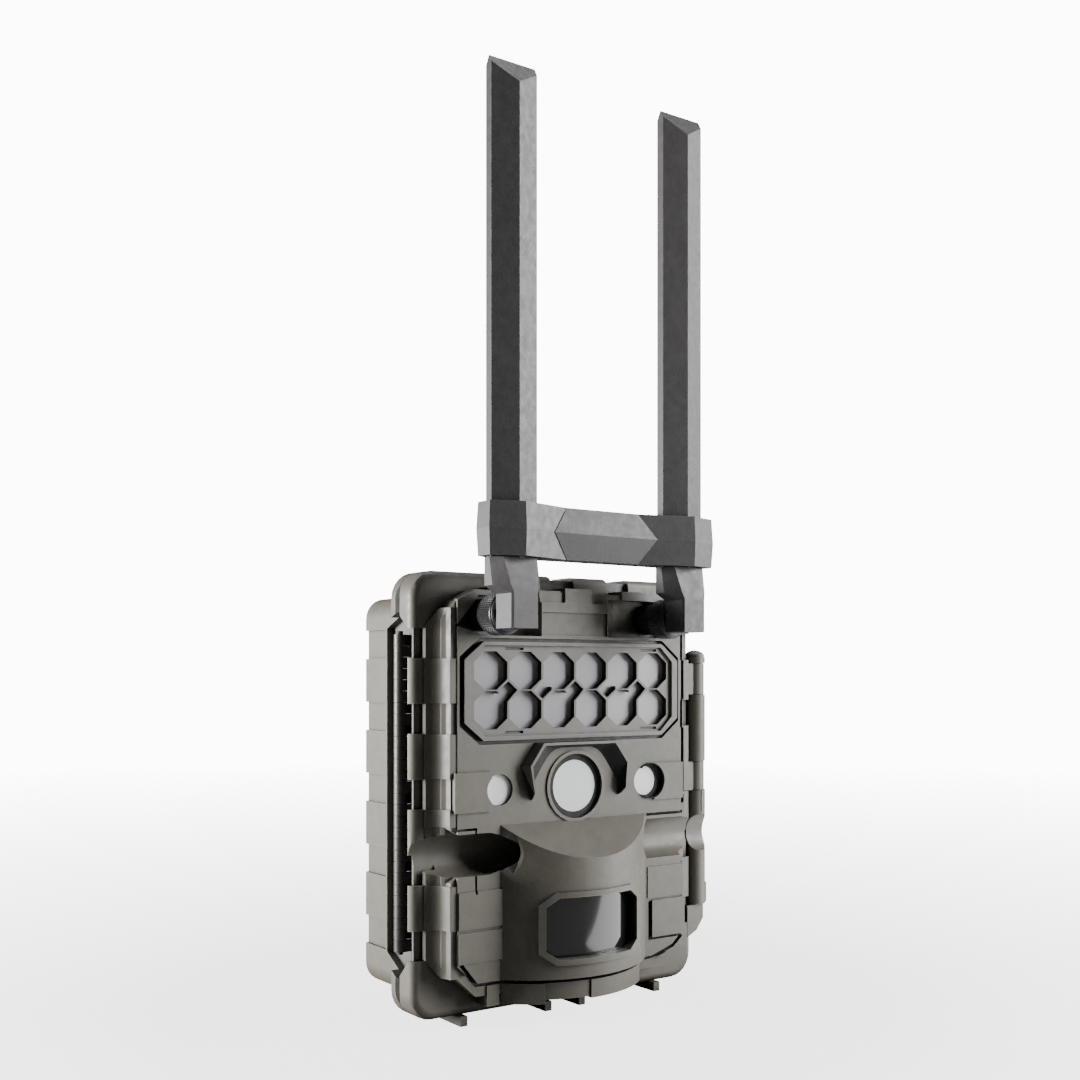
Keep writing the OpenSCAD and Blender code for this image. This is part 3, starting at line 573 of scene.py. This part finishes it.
def ir_wall_shade_faces():
    """Test for the walls of the infrared cells, which get a near-black of painted shade."""
    low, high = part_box("ir_grid")

    def chosen(centre, normal):
        return abs(normal.y) < 0.3 and low[1] + 1.1 * MM < centre.y < high[1]
    return chosen


def hinge_shade_faces():
    """Test for the hinge knuckles and the groove along the parting line, which get painted shade."""
    axis = centre_of("hinge_pin")
    low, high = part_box("hinge_pin")
    knuckle_reach = 3.3 * MM
    groove_half = 1.6 * MM
    outside = 0.4 * MM

    def chosen(centre, normal):
        across = Vector((centre.x - axis.x, centre.y - axis.y))
        knuckle = across.length < knuckle_reach and low[2] - MM < centre.z < high[2] + MM
        groove = abs(across.y) < groove_half and across.x < outside
        return knuckle or groove
    return chosen


def hood_shade_faces():
    """Test for the faces of the lens hood that look in towards the lens, which get painted shade."""
    lens = centre_of("lens_glass")
    face = RIM_FRONT - 7.6 * MM
    half_width = 22.6 * MM
    lowest, highest = -4.2 * MM, 16.4 * MM
    tilt = 0.25

    def chosen(centre, normal):
        beside = centre.x - lens.x
        above = centre.z - lens.z
        inwards = normal.x * beside < -tilt * abs(beside) or normal.z < -tilt
        return centre.y < face and abs(beside) < half_width and lowest < above < highest and inwards
    return chosen


# Painted shade on the walls of the infrared cells.
paint_shade_on_faces(moulded["ir_grid"], IR_WALL_SHADE, ir_wall_shade_faces())
# Painted shade on the hinge knuckles and the parting-line groove.
for name in ("front_cover", "back_housing"):
    paint_shade_on_faces(moulded[name], HINGE_SHADE, hinge_shade_faces())
# Painted shade: black on the faces under the lens hood.
paint_shade_on_faces(moulded["front_cover"], DEEP_BLACK, hood_shade_faces())


# --- Studio ---

FLOOR_SIZE = 8.0
FLOOR_GREY = 0.18
FADE_START = 3.0
SKY_SEEN = 12.0
SKY_LIGHT = 0.02
OBJECT_MIDDLE = (0, 0, 0.12)

# Name, size in metres, power in watts, place and aim of each soft light
LIGHTS = (
    ("softbox_right", (0.5, 0.9), 35, (0.88, -0.61, 0.42), OBJECT_MIDDLE),
    ("strip_left_back", (0.3, 0.35), 27, (-0.65, 0.29, 0.09), (0, 0, 0.06)),
    ("top", (0.8, 0.5), 6, (0.1, 0.1, 1.1), OBJECT_MIDDLE),
    ("fill_front", (1.2, 0.8), 0.3, (-0.5, -1.2, 0.5), OBJECT_MIDDLE))


def floor():
    """A pale floor that fades into the white surroundings away from the object."""
    made = bmesh.new()
    bmesh.ops.create_grid(made, x_segments=1, y_segments=1, size=FLOOR_SIZE)
    data = bpy.data.meshes.new("floor")
    made.to_mesh(data)
    made.free()
    obj = bpy.data.objects.new("floor", data)
    bpy.context.scene.collection.objects.link(obj)
    pale = Paint("floor_paint", (FLOOR_GREY, FLOOR_GREY, FLOOR_GREY), 0.9, specular=0.1)
    far = pale.node("ShaderNodeVectorMath", operation="LENGTH")
    pale.link(pale.place, far.inputs[0])
    glow = pale.ramp(far.outputs["Value"], FADE_START, SKY_SEEN, 0.12, 1.2)
    seen = pale.node("ShaderNodeLightPath")
    strength = pale.node("ShaderNodeMath", operation="MULTIPLY")
    pale.link(glow, strength.inputs[0])
    pale.link(seen.outputs["Is Camera Ray"], strength.inputs[1])
    pale.shader.inputs["Emission Color"].default_value = (1, 1, 1, 1)
    pale.link(strength.outputs["Value"], pale.shader.inputs["Emission Strength"])
    paint(obj, pale.material)


def area_light(name, size, power, place, turn):
    light = bpy.data.lights.new(name, "AREA")
    light.shape = "RECTANGLE"
    light.size, light.size_y = size
    light.energy = power
    obj = bpy.data.objects.new(name, light)
    obj.location = place
    obj.rotation_euler = turn
    bpy.context.scene.collection.objects.link(obj)
    return obj


def floor_light():
    """A low panel on the floor to the right, which shows as the bright part of the sensor window."""
    facing_up = (math.radians(180), 0, math.radians(-24))
    panel = area_light("floor_panel", (0.28, 0.15), 0.5, (0.2, -0.12, 0.003), facing_up)
    panel.visible_camera = False


def backdrop_light():
    """White surroundings: bright where the camera sees them, dim where they light the object."""
    world = bpy.data.worlds.new("studio")
    world.use_nodes = True
    tree = world.node_tree
    seen = tree.nodes["Background"]
    seen.inputs["Strength"].default_value = SKY_SEEN
    lit = tree.nodes.new("ShaderNodeBackground")
    lit.inputs["Strength"].default_value = SKY_LIGHT
    for background in (seen, lit):
        background.inputs["Color"].default_value = (1, 1, 1, 1)
    path = tree.nodes.new("ShaderNodeLightPath")
    mix = tree.nodes.new("ShaderNodeMixShader")
    tree.links.new(path.outputs["Is Camera Ray"], mix.inputs["Fac"])
    tree.links.new(lit.outputs["Background"], mix.inputs[1])
    tree.links.new(seen.outputs["Background"], mix.inputs[2])
    tree.links.new(mix.outputs["Shader"], tree.nodes["World Output"].inputs["Surface"])
    bpy.context.scene.world = world


def studio():
    floor()
    backdrop_light()
    floor_light()
    for name, size, power, place, aim in LIGHTS:
        turn = (Vector(aim) - Vector(place)).to_track_quat("-Z", "Y").to_euler()
        area_light(name, size, power, place, turn)


# Camera of the photograph: where it stands, and how far it looks to the right of straight back
CAMERA_PLACE = (-0.25412, -0.37274, 0.11304)
CAMERA_TURN = 34.92
CAMERA_LENS = 42.72
CAMERA_SHIFT = 0.1224


def camera():
    data = bpy.data.cameras.new("camera")
    data.lens = CAMERA_LENS
    data.sensor_width = 36
    data.shift_y = CAMERA_SHIFT
    data.clip_start = 0.01
    data.clip_end = 50
    obj = bpy.data.objects.new("camera", data)
    obj.location = CAMERA_PLACE
    obj.rotation_euler = (math.radians(90), 0, -math.radians(CAMERA_TURN))
    bpy.context.scene.collection.objects.link(obj)
    bpy.context.scene.camera = obj


studio()
camera()
